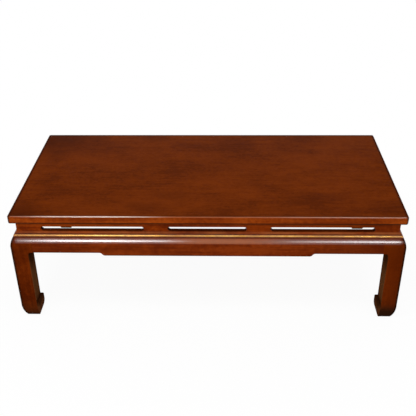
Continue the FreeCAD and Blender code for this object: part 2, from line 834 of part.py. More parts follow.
def make_fasteners():
    """Every screw, washer and dowel, in one group of each kind."""
    top_screws = [wood_screw("top_screw_%d" % number, (x, y, cleat_low), (0, 0, 1))
                  for number, (x, y) in enumerate(top_screw_places(), start=1)]
    block_screws, lags, washers = [], [], []
    for turns, corner in enumerate(CORNERS):
        ahead, aside = direction(turns), direction(turns + 1)
        along, seat = block_screw_along(), block_screw_seat()
        for name, place, out in (("x", in_corner(along, seat, turns), aside),
                                 ("y", in_corner(seat, along, turns), ahead)):
            block_screws.append(wood_screw("block_screw_%s_%s" % (corner, name), place + (block_middle,),
                                           (-out[0], -out[1], 0)))
        middle = in_corner(hypotenuse_middle(), hypotenuse_middle(), turns) + (block_middle,)
        outward = (-ahead[0] - aside[0], -ahead[1] - aside[1], 0)
        lags.append(lag_screw("lag_screw_" + corner, middle, outward))
        washers.append(washer("washer_" + corner, middle, outward))
    dowels = []
    for turns, side in enumerate(SIDES):
        for number, along in enumerate(dowel_places(turns), start=1):
            place = on_side(along, S["dowel_inset"], turns) + (zero,)
            base = dowel_top() - S["dowel_length"]
            name = "dowel_%s_%d" % (side, number)
            dowel = rod(name, OCTAGON, S["dowel_radius"], S["dowel_length"], base)
            set_place(dowel, place[:2] + (base,), (0, 0, 1))
            dowels.append(dowel)
    group("top_screws", top_screws)
    group("block_screws", block_screws)
    group("lag_screws", lags)
    group("lag_washers", washers)
    group("waist_dowels", dowels)


def nodes():
    """The finished sub-parts: every body, and every group of fasteners."""
    return [thing for thing in doc.Objects if thing.TypeId in ("PartDesign::Body", "Part::Compound")]


def check_and_write():
    for thing in doc.Objects:
        if "Invalid" in thing.State or "Error" in thing.State:
            raise RuntimeError("%s is in state %s" % (thing.Label, thing.State))
    for node in nodes():
        if node.Shape.isNull() or not node.Shape.isValid():
            raise RuntimeError("%s has no valid shape" % node.Label)
    os.makedirs("parts", exist_ok=True)
    for node in nodes():
        node.Shape.exportStep("parts/%s.step" % node.Label)
        print("%-28s %d solid(s) %12.0f mm3" % (node.Label, len(node.Shape.Solids), node.Shape.Volume))


make_top_veneer()
make_top_core()
for turns, side in enumerate(SIDES):
    make_lipping(side, turns)
    make_waist(side, turns)
    make_moulding(side, turns)
    make_apron(side, turns)
    make_cleat(side, turns)
for turns, corner in enumerate(CORNERS):
    make_leg(corner, turns)
    make_corner_block(corner, turns)
for side, sign in (("left", -1), ("right", 1)):
    make_batten(side, sign)
make_fasteners()
doc.recompute()
check_and_write()
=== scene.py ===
import math
from collections import namedtuple

import bmesh
import bpy
import numpy as np
from mathutils import Matrix, Vector


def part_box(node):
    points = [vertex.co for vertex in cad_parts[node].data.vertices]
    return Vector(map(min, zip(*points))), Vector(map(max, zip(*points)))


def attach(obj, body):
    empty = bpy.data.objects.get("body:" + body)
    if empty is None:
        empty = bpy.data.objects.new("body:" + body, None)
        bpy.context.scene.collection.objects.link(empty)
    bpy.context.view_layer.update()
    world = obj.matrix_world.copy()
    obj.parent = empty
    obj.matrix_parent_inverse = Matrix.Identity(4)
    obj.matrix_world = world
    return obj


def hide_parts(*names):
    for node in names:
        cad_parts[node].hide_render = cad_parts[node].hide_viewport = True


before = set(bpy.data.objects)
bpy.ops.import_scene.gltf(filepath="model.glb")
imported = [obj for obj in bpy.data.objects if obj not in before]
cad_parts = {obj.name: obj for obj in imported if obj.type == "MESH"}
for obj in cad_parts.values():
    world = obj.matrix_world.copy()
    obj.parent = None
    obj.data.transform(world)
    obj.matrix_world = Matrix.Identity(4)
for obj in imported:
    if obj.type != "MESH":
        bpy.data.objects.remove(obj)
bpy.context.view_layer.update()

SIDES = ["front", "right", "back", "left"]
CORNERS = ["front_left", "front_right", "back_right", "back_left"]

Corner = namedtuple("Corner", "x y z")


def box_of(node):
    """Lowest and highest corner of a node of the frame, in metres, to a hundredth of a millimetre."""
    return [Corner(*(round(value, 5) for value in corner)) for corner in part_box(node)]


veneer_low, veneer_high = box_of("top_veneer")
lipping_low, lipping_high = box_of("lipping_front")
waist_low, waist_high = box_of("waist_front")
apron_low, apron_high = box_of("apron_front")
core_low, leg_high = box_of("top_core")[0], box_of("leg_front_left")[1]

# Sizes that the dressed pieces share with the frame, in metres. Insets run inwards from the top's sides.
HALF_LENGTH, HALF_WIDTH = box_of("lipping_right")[1].x, -lipping_low.y
TABLE_TOP, VENEER_UNDERSIDE, UNDER_TOP = veneer_high.z, veneer_low.z, lipping_low.z
WAIST_FOOT, APRON_TOP, DROP_FOOT = waist_low.z, apron_high.z, apron_low.z
LIPPING_WIDTH, WAIST_BACK = HALF_WIDTH + lipping_high.y, HALF_WIDTH + waist_high.y
TONGUE_LENGTH, JOINT_LINE = lipping_high.y - core_low.y, HALF_LENGTH + leg_high.x

# Sizes that the boxes don't give: heights of the core's tongue, inset of the waist's face and foot of its
# slots, and an apron's foot beyond its drop, which ends at that share of the way from middle to leg.
TONGUE_LOW, TONGUE_HIGH = 0.3877, 0.3957
WAIST_FACE, SLOT_LOW = 0.018, 0.342
APRON_FOOT, DROP_SHARE = 0.2704, 0.618

# The gilt moulding's section: a fillet, a quirk, the bead and a quirk again. Foot and head are insets.
MOULDING_FOOT, FILLET_TOP, QUIRK_DEPTH = 0.0062, 0.3262, 0.0012
BEAD_LOW, BEAD_HIGH, BEAD_FOOT, BEAD_HEAD, BEAD_RADIUS = 0.3273, 0.3345, 0.0074, 0.0114, 0.0062

# Roundings that are finer here than in the frame: the top's upper and lower arris and its upright corners.
TOP_ARRIS, UNDER_ARRIS, TOP_CORNER = 0.0026, 0.0055, 0.0065

# Angles in degrees. An edge that turns by more than the first is an arris that a bevel eases, and one by
# more than the second is shaded sharp. Faces within the third of each other are merged.
ARRIS_ANGLE, SHARP_ANGLE, FLAT_ANGLE = 30, 32, 0.4

# Widths of the eased arrises. A leg's outer arris has its whole width, and its other ones a share of it.
LEG_ARRIS, APRON_ARRIS, WAIST_ARRIS, PLAIN_ARRIS = 0.0040, 0.0010, 0.0005, 0.0006
CORE_ARRIS, MOULDING_ARRIS, SMALL_ARRIS = 0.0003, 0.00025, 0.0002

# The photograph's camera, fitted to the table's outline. Pixels are in the photograph's 416 x 416 frame.
PHOTO_SIZE = 416
FOCAL_PIXELS = 673.96
SENSOR_MM = 36.0
CAMERA_PLACE = (0.0568, -2.1120, 1.5330)
CAMERA_YAW = math.radians(1.650)
CAMERA_PITCH = math.radians(31.166)
CAMERA_ROLL = math.radians(-0.688)


def put_in_scene(name, data):
    """A new object that shows the data."""
    thing = bpy.data.objects.new(name, data)
    bpy.context.scene.collection.objects.link(thing)
    return thing


def make_camera():
    """Camera at the photograph's place: yaw turns it left, pitch tips it down, roll turns the picture."""
    data = bpy.data.cameras.new("camera")
    data.sensor_fit = "HORIZONTAL"
    data.sensor_width = SENSOR_MM
    data.lens = FOCAL_PIXELS / PHOTO_SIZE * SENSOR_MM
    camera = put_in_scene("camera", data)
    yaw, pitch, roll = CAMERA_YAW, CAMERA_PITCH, CAMERA_ROLL
    forward = Vector((-math.sin(yaw) * math.cos(pitch), math.cos(yaw) * math.cos(pitch), -math.sin(pitch)))
    level = Vector((math.cos(yaw), math.sin(yaw), 0))
    above = level.cross(forward)
    right = level * math.cos(roll) + above * math.sin(roll)
    up = above * math.cos(roll) - level * math.sin(roll)
    turn = Matrix((right, up, -forward)).transposed()
    camera.matrix_world = Matrix.Translation(CAMERA_PLACE) @ turn.to_4x4()
    bpy.context.scene.camera = camera


class Nodes:
    """The nodes of the world or of a material. All methods but add give back the socket of their result."""

    def __init__(self, tree):
        self.tree = tree
        tree.nodes.clear()

    def add(self, kind, inputs=None, **settings):
        """A node with its settings and its inputs, each a number, a colour or another node's socket."""
        node = self.tree.nodes.new(kind)
        for key, value in settings.items():
            setattr(node, key, value)
        for key, value in (inputs or {}).items():
            if isinstance(value, bpy.types.NodeSocket):
                self.tree.links.new(value, node.inputs[key])
            else:
                node.inputs[key].default_value = value
        return node

    def reckon(self, operation, *values):
        """Arithmetic on one, two or three values."""
        return self.add("ShaderNodeMath", dict(enumerate(values)), operation=operation).outputs[0]

    def plus(self, first, second):
        return self.reckon("ADD", first, second)

    def less(self, first, second):
        return self.reckon("SUBTRACT", first, second)

    def times(self, first, second):
        return self.reckon("MULTIPLY", first, second)

    def larger(self, first, second):
        return self.reckon("MAXIMUM", first, second)

    def smaller(self, first, second):
        return self.reckon("MINIMUM", first, second)

    def away(self, value, place):
        """How far a value is from a place on its axis, to either side."""
        return self.reckon("ABSOLUTE", self.less(value, place))

    def distance(self, first, second):
        """Root of the sum of two squares."""
        return self.reckon("SQRT", self.plus(self.times(first, first), self.times(second, second)))

    def mixed(self, share, first, second):
        """Two shaders mixed, with that share of the second."""
        return self.add("ShaderNodeMixShader", {0: share, 1: first, 2: second}).outputs[0]

    def seen(self):
        """One for rays from the camera and those that a mirror or glass passes on, nothing for the rest."""
        path = self.add("ShaderNodeLightPath").outputs
        passed_on = self.larger(path["Is Glossy Ray"], path["Is Transmission Ray"])
        return self.larger(path["Is Camera Ray"], passed_on)


class Finish(Nodes):
    """A material whose patterns and places are set out in the table's own coordinates, in metres."""

    def __init__(self, name):
        self.material = bpy.data.materials.new(name)
        self.material.use_nodes = True
        super().__init__(self.material.node_tree)
        self.place = self.add("ShaderNodeTexCoord").outputs["Object"]
        self.x, self.y, self.z = self.add("ShaderNodeSeparateXYZ", {0: self.place}).outputs

    def rise(self, value, start, end, low=0.0, high=1.0):
        """Goes smoothly from low to high as the value goes from start to end."""
        node = self.add("ShaderNodeMapRange", {0: value, 1: start, 2: end, 3: low, 4: high},
                        interpolation_type="SMOOTHSTEP")
        return node.outputs[0]

    def fall(self, value, start, end, high=1.0):
        """Goes smoothly from high to nothing as the value goes from start to end."""
        return self.rise(value, start, end, high, 0.0)

    def between(self, value, start, end, soft):
        """One between start and end, nothing beyond, over edges that soft to each side."""
        started = self.rise(value, start - soft, start + soft)
        return self.times(started, self.fall(value, end - soft, end + soft))

    def inwards(self):
        """Distances inwards from the ends and from the long sides of the top."""
        return (self.less(HALF_LENGTH, self.reckon("ABSOLUTE", self.x)),
                self.less(HALF_WIDTH, self.reckon("ABSOLUTE", self.y)))

    def inset(self):
        """Distance inwards from the nearer side of the top."""
        return self.smaller(*self.inwards())

    def cloud(self, scale, detail=2.0, roughness=0.5, distortion=0.0, pull=(1.0, 1.0, 1.0),
              shift=(0.0, 0.0, 0.0)):
        """Soft noise about 0.5. It is drawn out along an axis where pull is small, and shift moves it."""
        place = self.add("ShaderNodeMapping", {"Vector": self.place, "Location": shift, "Scale": pull})
        inputs = {"Vector": place.outputs[0], "Scale": scale, "Detail": detail, "Roughness": roughness,
                  "Distortion": distortion}
        return self.add("ShaderNodeTexNoise", inputs).outputs[0]

    def mixture(self, *parts):
        """Patterns added up, each given as its share and its socket."""
        total = 0.0
        for share, pattern in parts:
            total = self.reckon("MULTIPLY_ADD", pattern, share, total)
        return total

    def blend(self, share, first, second):
        """Two colours mixed, with that share of the second."""
        node = self.add("ShaderNodeMix", data_type="RGBA", clamp_factor=True)
        for number, value in ((0, share), (6, first), (7, second)):
            if isinstance(value, bpy.types.NodeSocket):
                self.tree.links.new(value, node.inputs[number])
            else:
                node.inputs[number].default_value = (*value, 1.0) if isinstance(value, tuple) else value
        return node.outputs[2]

    def laid(self, colour, over, where, share):
        """A colour with another laid over it, by that share where the mask is one."""
        return self.blend(self.times(where, share), colour, over)

    def toned(self, tone, stain, middle, light):
        """The tones of a stain: dark, then middle and light as the tone passes through those two ranges."""
        colour = self.blend(self.rise(tone, *middle), stain.dark, stain.middle)
        return self.blend(self.rise(tone, *light), colour, stain.light)

    def relief(self, height, depth):
        """Small ups and downs of the surface, that deep in metres."""
        return self.add("ShaderNodeBump", {"Strength": 1.0, "Distance": depth, "Height": height}).outputs[0]

    def surface(self, colour, roughness, relief, coat=None, metal=0.0, gloss=0.02, coat_roughness=0.13,
                coat_ior=1.5):
        """The surface itself: gloss is the share of plain reflection, and coat a film of polish over it."""
        inputs = {"Base Color": colour, "Roughness": roughness, "Normal": relief, "Metallic": metal,
                  "Specular IOR Level": gloss}
        if coat is not None:
            inputs["Coat Weight"] = coat
            inputs["Coat Roughness"] = coat_roughness
            inputs["Coat IOR"] = coat_ior
        shader = self.add("ShaderNodeBsdfPrincipled", inputs)
        self.add("ShaderNodeOutputMaterial", {"Surface": shader.outputs[0]})
        return self.material


# Half the floor's side, its colour as it lights the table, and its colour where it is seen in shadow.
FLOOR_REACH = 30.0
FLOOR_GREY, FLOOR_SEEN = (0.62, 0.62, 0.62, 1.0), (0.95, 0.95, 0.95, 1.0)

# How much of the floor is plain white near the table, and the distances between which it becomes all of it.
FLOOR_WHITE_SHARE, SHADOW_REACH = 0.94, (0.5, 1.3)


def make_floor():
    """Pale floor. Camera, mirror and glass rays see it white, apart from the table's soft shadow.

    From below it is clear, so that the underside of the table can be looked at.
    """
    reach = FLOOR_REACH
    mesh = bpy.data.meshes.new("floor")
    mesh.from_pydata([(-reach, -reach, 0), (reach, -reach, 0), (reach, reach, 0), (-reach, reach, 0)], [],
                     [(0, 1, 2, 3)])
    floor = put_in_scene("floor", mesh)
    f = Finish("pale_floor")
    pale = f.add("ShaderNodeBsdfDiffuse", {"Color": FLOOR_GREY}).outputs[0]
    shaded = f.add("ShaderNodeBsdfDiffuse", {"Color": FLOOR_SEEN}).outputs[0]
    white = f.add("ShaderNodeEmission", {"Strength": 1.0}).outputs[0]
    clear = f.add("ShaderNodeBsdfTransparent").outputs[0]
    whiteness = f.rise(f.distance(f.x, f.y), *SHADOW_REACH, FLOOR_WHITE_SHARE, 1.0)
    from_above = f.mixed(f.seen(), pale, f.mixed(whiteness, shaded, white))
    underside = f.add("ShaderNodeNewGeometry").outputs["Backfacing"]
    f.add("ShaderNodeOutputMaterial", {"Surface": f.mixed(underside, from_above, clear)})
    mesh.materials.append(f.material)


AMBIENT_GREY, WHITE = (0.8, 0.8, 0.8, 1.0), (1.0, 1.0, 1.0, 1.0)


def make_world():
    """Soft even light all round, which camera, mirror and glass rays see as white."""
    world = bpy.data.worlds.new("studio")
    world.use_nodes = True
    nodes = Nodes(world.node_tree)
    ambient = nodes.add("ShaderNodeBackground", {"Color": AMBIENT_GREY, "Strength": 0.25}).outputs[0]
    white = nodes.add("ShaderNodeBackground", {"Color": WHITE, "Strength": 1.0}).outputs[0]
    nodes.add("ShaderNodeOutputWorld", {"Surface": nodes.mixed(nodes.seen(), ambient, white)})
    bpy.context.scene.world = world


# Where the lamps in front stand and how high they point, where those overhead hang, and how high the low ones
# behind the table and beyond its ends are and point. The faint one in front is a warm white.
LAMP_Y, LAMP_Z, LAMP_TARGET_Z = -2.13, 0.63, 0.45
OVER_Y, OVER_Z, OVER_TARGET = -1.2, 3.0, (0, 0, 0.3)
LOW_Z, LOW_TARGET_Z = 0.46, 0.25
WARM_WHITE = (1.0, 0.74, 0.5)


def area_lamp(name, place, target, size, power, colour=(1.0, 1.0, 1.0)):
    """A soft box that faces its target and that the camera doesn't see."""
    data = bpy.data.lights.new(name, "AREA")
    data.shape = "RECTANGLE"
    data.size, data.size_y = size
    data.energy = power
    data.color = colour
    lamp = put_in_scene(name, data)
    lamp.location = place
    lamp.visible_camera = False
    lamp.rotation_mode = "QUATERNION"
    lamp.rotation_quaternion = (Vector(target) - Vector(place)).to_track_quat("-Z", "Y")


def soft_ended_lamp(name, outer, inner, height, radiance, steps=4):
    """An upright lamp in front whose light fades towards its ends.

    It is nested soft boxes of equal brightness, a hair apart, from the outer reach in x to the inner one. The
    power of each is pi times its area times its part of the radiance.
    """
    for step in range(steps):
        share = step / (steps - 1)
        low = outer[0] + (inner[0] - outer[0]) * share
        high = outer[1] + (inner[1] - outer[1]) * share
        middle, width = (low + high) / 2, high - low
        place, target = (middle, LAMP_Y - 0.001 * step, LAMP_Z), (middle, 0, LAMP_TARGET_Z)
        power = math.pi * width * height * radiance / steps
        area_lamp("%s_%d" % (name, step), place, target, (width, height), power)


def make_lamps():
    """Soft boxes in front, which shoulder and bead mirror, and overhead, which the top's arris mirrors.

    Fainter ones behind the table and beyond its ends light the sides that the others don't reach.
    """
    soft_ended_lamp("lamp_left", (-1.17, -0.18), (-0.94, -0.55), 0.30, 20.5)
    soft_ended_lamp("lamp_right", (0.46, 1.38), (0.88, 1.16), 0.28, 12.5)
    area_lamp("lamp_middle", (0.18, LAMP_Y, 0.60), (0.18, 0, LAMP_TARGET_Z), (0.94, 0.40), 1.0, WARM_WHITE)
    area_lamp("lamp_over", (0, OVER_Y, OVER_Z), OVER_TARGET, (2.0, 1.8), 12.0)
    area_lamp("lamp_over_left", (-1.08, OVER_Y, OVER_Z), OVER_TARGET, (0.9, 0.9), 25.0)
    area_lamp("lamp_over_right", (1.25, OVER_Y, OVER_Z), OVER_TARGET, (0.9, 0.9), 19.0)
    area_lamp("lamp_back", (0, 2.3, LOW_Z), (0, 0, LOW_TARGET_Z), (2.4, 0.5), 16.0)
    for name, side in (("lamp_left_side", -1), ("lamp_right_side", 1)):
        area_lamp(name, (side * 2.3, 0.4, LOW_Z), (0, 0.1, LOW_TARGET_Z), (1.4, 0.5), 9.0)


# Colours are linear red, green and blue. A stain has three tones.
Stain = namedtuple("Stain", "dark middle light")
VENEER_STAIN = Stain((0.116, 0.0184, 0.0015), (0.162, 0.0266, 0.0021), (0.196, 0.0332, 0.0028))
EDGE_STAIN = Stain((0.164, 0.0225, 0.0015), (0.232, 0.0362, 0.0023), (0.308, 0.0535, 0.0040))
WAIST_STAIN = Stain((0.122, 0.0137, 0.0007), (0.202, 0.0270, 0.0012), (0.300, 0.0460, 0.0026))
APRON_STAIN = Stain((0.110, 0.0125, 0.0009), (0.158, 0.0205, 0.0014), (0.215, 0.0315, 0.0028))
LEG_STAIN = Stain((0.074, 0.0093, 0.0007), (0.109, 0.0149, 0.0011), (0.147, 0.0222, 0.0018))
FRAMING_WOOD = Stain((0.17, 0.10, 0.05), (0.25, 0.155, 0.08), (0.36, 0.24, 0.13))
CORE_WOOD = Stain((0.20, 0.115, 0.052), (0.28, 0.165, 0.075), (0.36, 0.225, 0.11))
BEECH = Stain((0.33, 0.19, 0.09), (0.42, 0.26, 0.13), (0.50, 0.33, 0.18))

# Near-black colour for dark specks of old polish, and for painted shade in recesses, slots and under
# overhangs.
# Paler wood for the top's front arris: partly wear, partly a painted highlight.
DARK_GLAZE_AND_SHADE, THIN_WEAR_AND_HIGHLIGHT, PALE_WEAR_AND_HIGHLIGHT = (0.020, 0.0060, 0.0020), (0.36, 0.082, 0.014), (0.70, 0.51, 0.41)

# The film of polish on the top's arris, and the one on the shoulder of aprons and legs.
ARRIS_POLISH = {"coat_roughness": 0.2, "coat_ior": 2.4}
SHOULDER_POLISH = {"coat_roughness": 0.13, "coat_ior": 1.7}

# Depth of the grain: in the top, edge and waist, filled by polish in aprons and legs, and in sawn wood.
OPEN_GRAIN, FILLED_GRAIN, SAWN_GRAIN = 0.00006, 0.00002, 0.00015


def wood_body(f, along, stain, stretch=16.0, cloud_scale=6.0):
    """Stained wood: figure, streaks and pores drawn out along one axis, under the clouds of a rubbed stain.

    Gives the colour, the pores and a height for the grain.
    """
    def grain(scale, pull, shift, detail, roughness, distortion=0.0):
        across = pull * scale
        sizes = {"X": (scale, across, across), "Y": (across, scale, across), "Z": (across, across, scale)}
        return f.cloud(1.0, detail, roughness, distortion, sizes[along], (shift, shift * 0.7, shift * 1.3))

    figure = grain(1.9, stretch, 3.1, 4.0, 0.55, 0.5)
    streak = grain(6.0, stretch * 2.2, 7.7, 4.0, 0.62, 0.2)
    line = grain(14.0, stretch * 4.5, 1.7, 2.0, 0.6)
    clouds = f.cloud(cloud_scale, 2.5, 0.55, shift=(4.0, 2.0, 9.0))
    mottle = f.cloud(62.0, 2.0, 0.6, shift=(7.0, 3.0, 5.0))
    tone = f.mixture((0.38, figure), (0.25, streak), (0.37, clouds), (0.28, mottle))
    colour = f.toned(tone, stain, (0.545, 0.640), (0.630, 0.725))
    colour = f.laid(colour, stain.dark, f.rise(line, 0.40, 0.70), 0.30)
    pores = f.rise(grain(60.0, stretch * 2.0, 5.0, 2.0, 0.5), 0.60, 0.70)
    dashes = f.times(pores, f.rise(streak, 0.42, 0.6))
    colour = f.laid(colour, tuple(part * 0.35 for part in stain.dark), dashes, 0.55)
    height = f.less(f.times(line, 0.4), dashes)
    return colour, dashes, height


def specks(f, scale=70.0, size=0.11, rarity=0.78):
    """Small dark spots of the old finish, one in each of the few cells that their random colour picks."""
    cells = f.add("ShaderNodeTexVoronoi", {"Vector": f.place, "Scale": scale}).outputs
    lot = f.add("ShaderNodeSeparateColor", {0: cells["Color"]}).outputs[0]
    return f.times(f.fall(cells["Distance"], size * 0.6, size), f.rise(lot, rarity, rarity + 0.02))


def front_side(f):
    """One along the front of the top, nothing at its other sides and close to its corners."""
    front = f.fall(f.y, -HALF_WIDTH + 0.006, -HALF_WIDTH + 0.008)
    return f.times(front, f.rise(f.inwards()[0], 0.004, 0.014))


def edge_wear_and_highlight(f):
    """How much paler the top's arris is, from wear and painted highlight: most near its left end, little near
    its right.
    """
    runs = f.rise(f.cloud(14.0, 3.0, 0.6), 0.36, 0.62, 0.6, 1.0)
    left = f.fall(f.away(f.x, -0.36), 0.09, 0.27, 0.98)
    right = f.fall(f.away(f.x, 0.50), 0.05, 0.30, 0.08)
    return f.times(runs, f.plus(0.06, f.plus(left, right)))


# Dark places of the veneer, each given by its middle and then its reach lengthwise and across, in metres:
# marks on the field, and the corners at the left end.
DARK_MARKS = [(-0.50, -0.14, 0.09, 0.05), (-0.13, -0.17, 0.12, 0.04), (0.34, -0.18, 0.16, 0.05),
              (0.10, 0.21, 0.12, 0.07), (-0.55, 0.25, 0.24, 0.09), (-0.60, -0.27, 0.14, 0.07),
              (-0.22, 0.27, 0.08, 0.04), (0.58, -0.24, 0.09, 0.05), (-0.20, -0.24, 0.10, 0.05)]
DARK_CORNERS = [(-0.66, 0.31, 0.34, 0.30), (-0.66, -0.31, 0.22, 0.12)]

# What darkens the veneer: the marks and the strip along the front, the corners, the rim and the pores.
MARK, CORNER_MARK = (0.080, 0.0125, 0.0018), (0.060, 0.0095, 0.0012)
RIM, VENEER_PORE = (0.040, 0.007, 0.0012), (0.045, 0.008, 0.002)


def dark_place(f, spot, ragged):
    """A soft oval, one at its middle and nothing beyond its reach. Noise bends a ragged one out of shape."""
    x, y, length, depth = spot
    away = f.distance(f.times(f.less(f.x, x), 1 / length), f.times(f.less(f.y, y), 1 / depth))
    away = f.plus(away, f.times(f.less(f.cloud(14.0, 3.0), 0.5), ragged))
    return f.fall(away, 0.2, 1.0)


def flame(f):
    """Flame figure: a sine across the grain whose bands slow noise bends, in soft patches."""
    swing = f.cloud(1.7, 2.0, pull=(1.3, 2.6, 1.0), shift=(9.0, 0.0, 0.0))
    bands = f.reckon("SINE", f.times(f.mixture((30.0, f.y), (7.5, swing)), 2.0 * math.pi))
    return f.times(bands, f.rise(f.cloud(3.0, 1.0, pull=(1.0, 2.0, 1.0), shift=(1.0, 7.0, 0.0)), 0.42, 0.62))


def veneer_figure(f):
    """The veneer's tone, from patterns of all sizes between its slow drift and its finest mottle.

    Gives the tone, and the clouds and the grain lines in it.
    """
    clouds = f.cloud(7.0, 3.0, 0.55, 0.3, pull=(1.0, 1.7, 1.0), shift=(0.3, 5.2, 0.0))
    mottle = f.cloud(26.0, 3.0, 0.6, pull=(1.0, 1.5, 1.0), shift=(6.0, 1.0, 0.0))
    streak = f.cloud(1.8, 5.0, 0.6, 0.5, pull=(2.2, 26.0, 1.0), shift=(0.0, 3.0, 0.0))
    line = f.cloud(1.6, 3.0, 0.6, 0.15, pull=(5.0, 190.0, 1.0))
    drift = f.cloud(2.4, 1.0, pull=(1.0, 1.6, 1.0), shift=(8.0, 3.0, 0.0))
    fine = f.cloud(95.0, 2.0, 0.6, pull=(1.0, 1.4, 1.0), shift=(2.0, 9.0, 0.0))
    tone = f.mixture((0.31, clouds), (0.17, mottle), (0.15, streak), (0.24, drift), (0.26, fine),
                     (0.26, line), (0.012, flame(f)))
    return tone, clouds, line


def veneer_finish():
    """Mottled red-brown veneer of the top: soft clouds, fine grain, a few darker marks and a dark rim."""
    f = Finish("top_veneer_wood")
    tone, clouds, line = veneer_figure(f)
    colour = f.toned(tone, VENEER_STAIN, (0.595, 0.70), (0.68, 0.79))
    for spot in DARK_MARKS:
        colour = f.laid(colour, MARK, dark_place(f, spot, ragged=1.6), 0.34)
    for spot in DARK_CORNERS:
        colour = f.laid(colour, CORNER_MARK, dark_place(f, spot, ragged=0.5), 0.62)
    front_strip = f.fall(f.y, -0.29, -0.16)
    colour = f.laid(colour, MARK, front_strip, 0.16)
    pores = f.rise(f.cloud(1.0, pull=(70.0, 1500.0, 1.0)), 0.60, 0.70)
    colour = f.laid(colour, VENEER_PORE, pores, 0.30)
    colour = f.laid(colour, DARK_GLAZE_AND_SHADE, specks(f, 55.0, 0.10, 0.80), 0.7)
    inset = f.inset()
    rim = f.times(f.fall(inset, 0.005, 0.013), f.rise(f.y, -0.296, -0.292, 0.50, 0.78))
    colour = f.blend(rim, colour, RIM)
    # The front arris is paler: partly wear, partly a painted highlight.
    edge = f.times(f.fall(inset, 0.0040, 0.0062), front_side(f))
    colour = f.laid(colour, THIN_WEAR_AND_HIGHLIGHT, edge, 0.7)
    colour = f.blend(f.times(edge, edge_wear_and_highlight(f)), colour, PALE_WEAR_AND_HIGHLIGHT)
    left_polish = f.times(f.rise(f.x, -0.34, -0.10, 0.76, 0.04), f.rise(f.x, -0.63, -0.42, 0.15, 1.0))
    polish = f.times(edge, f.plus(left_polish, f.rise(f.x, 0.12, 0.32, 0.0, 0.26)))
    grain = f.less(f.times(line, 0.5), pores)
    return f.surface(colour, f.plus(0.40, f.times(clouds, 0.12)), f.relief(grain, OPEN_GRAIN), coat=polish,
                     gloss=0.004, **ARRIS_POLISH)


def lipping_finish(along):
    """Top's edge: warmer stained wood, its upper arris paler from wear and painted highlight, painted shade
    under the lower.
    """
    f = Finish("edge_wood_" + along)
    colour, _, height = wood_body(f, along, EDGE_STAIN, cloud_scale=8.0)
    # Painted shade under the lower arris.
    under = f.fall(f.z, UNDER_TOP + 0.0038, UNDER_TOP + 0.0072)
    colour = f.laid(colour, DARK_GLAZE_AND_SHADE, under, 0.9)
    # The front's upper arris is paler: partly wear, partly a painted highlight.
    crown = f.times(f.rise(f.z, VENEER_UNDERSIDE - 0.0004, VENEER_UNDERSIDE + 0.0001), front_side(f))
    colour = f.blend(f.times(crown, edge_wear_and_highlight(f)), colour, PALE_WEAR_AND_HIGHLIGHT)
    # Darker at the upright corners.
    corner = f.fall(f.larger(*f.inwards()), 0.0030, 0.0090)
    colour = f.laid(colour, DARK_GLAZE_AND_SHADE, corner, 0.85)
    colour = f.laid(colour, DARK_GLAZE_AND_SHADE, specks(f), 0.6)
    return f.surface(colour, 0.42, f.relief(height, OPEN_GRAIN), coat=f.times(crown, 0.5), **ARRIS_POLISH)


# The waist's darker right end, and its paler foot: polish thinned by wear, and a painted highlight on the
# cove.
WAIST_RIGHT, WAIST_FOOT_WEAR_AND_HIGHLIGHT = (0.110, 0.0120, 0.0006), (0.31, 0.080, 0.017)


def waist_finish(along):
    """Waist: stained wood, painted shade under the top and in the slots, and a pale foot from wear and
    painted highlight.
    """
    f = Finish("waist_wood_" + along)
    colour, _, height = wood_body(f, along, WAIST_STAIN, cloud_scale=9.0)
    colour = f.laid(colour, WAIST_STAIN.light, f.between(f.x, 0.08, 0.46, 0.08), 0.40)
    colour = f.laid(colour, WAIST_RIGHT, f.rise(f.x, 0.44, 0.60), 0.36)
    # Painted shade on the waist under the top's overhang.
    under_top = f.rise(f.z, UNDER_TOP - 0.0184, UNDER_TOP - 0.0064)
    colour = f.laid(colour, DARK_GLAZE_AND_SHADE, under_top, 0.55)
    # The foot is paler in patches: partly polish thinned by wear, partly a painted highlight on the cove.
    foot = f.fall(f.z, WAIST_FOOT + 0.0039, WAIST_FOOT + 0.0074)
    patches = f.rise(f.cloud(9.0, 3.0, 0.6), 0.36, 0.64, 0.15, 0.80)
    colour = f.blend(f.times(foot, patches), colour, WAIST_FOOT_WEAR_AND_HIGHLIGHT)
    # Painted shade: a dark line under the waist's lip, over the moulding.
    lip = f.fall(f.z, WAIST_FOOT + 0.0004, WAIST_FOOT + 0.0012)
    colour = f.laid(colour, DARK_GLAZE_AND_SHADE, lip, 0.6)
    # Painted shade on the inner faces of the slots, less on their lower faces.
    behind_face = f.rise(f.inset(), WAIST_FACE + 0.0004, WAIST_FACE + 0.0012)
    slots = f.times(behind_face, f.rise(f.z, SLOT_LOW + 0.0001, SLOT_LOW + 0.0020, 0.08, 0.80))
    colour = f.blend(slots, colour, DARK_GLAZE_AND_SHADE)
    colour = f.laid(colour, DARK_GLAZE_AND_SHADE, specks(f), 0.6)
    return f.surface(colour, 0.44, f.relief(height, OPEN_GRAIN), coat=f.times(foot, 0.14))


# Gold, dull and bright, the red ground that shows where the gold wears through, and grime and painted shade
# off the bead.
DULL_GOLD, BRIGHT_GOLD, RED_GROUND = (0.46, 0.215, 0.042), (0.66, 0.39, 0.115), (0.27, 0.070, 0.012)
DARK_DIRT_AND_SHADE, PALE_DIRT_AND_SHADE = (0.080, 0.0120, 0.0012), (0.17, 0.027, 0.0030)


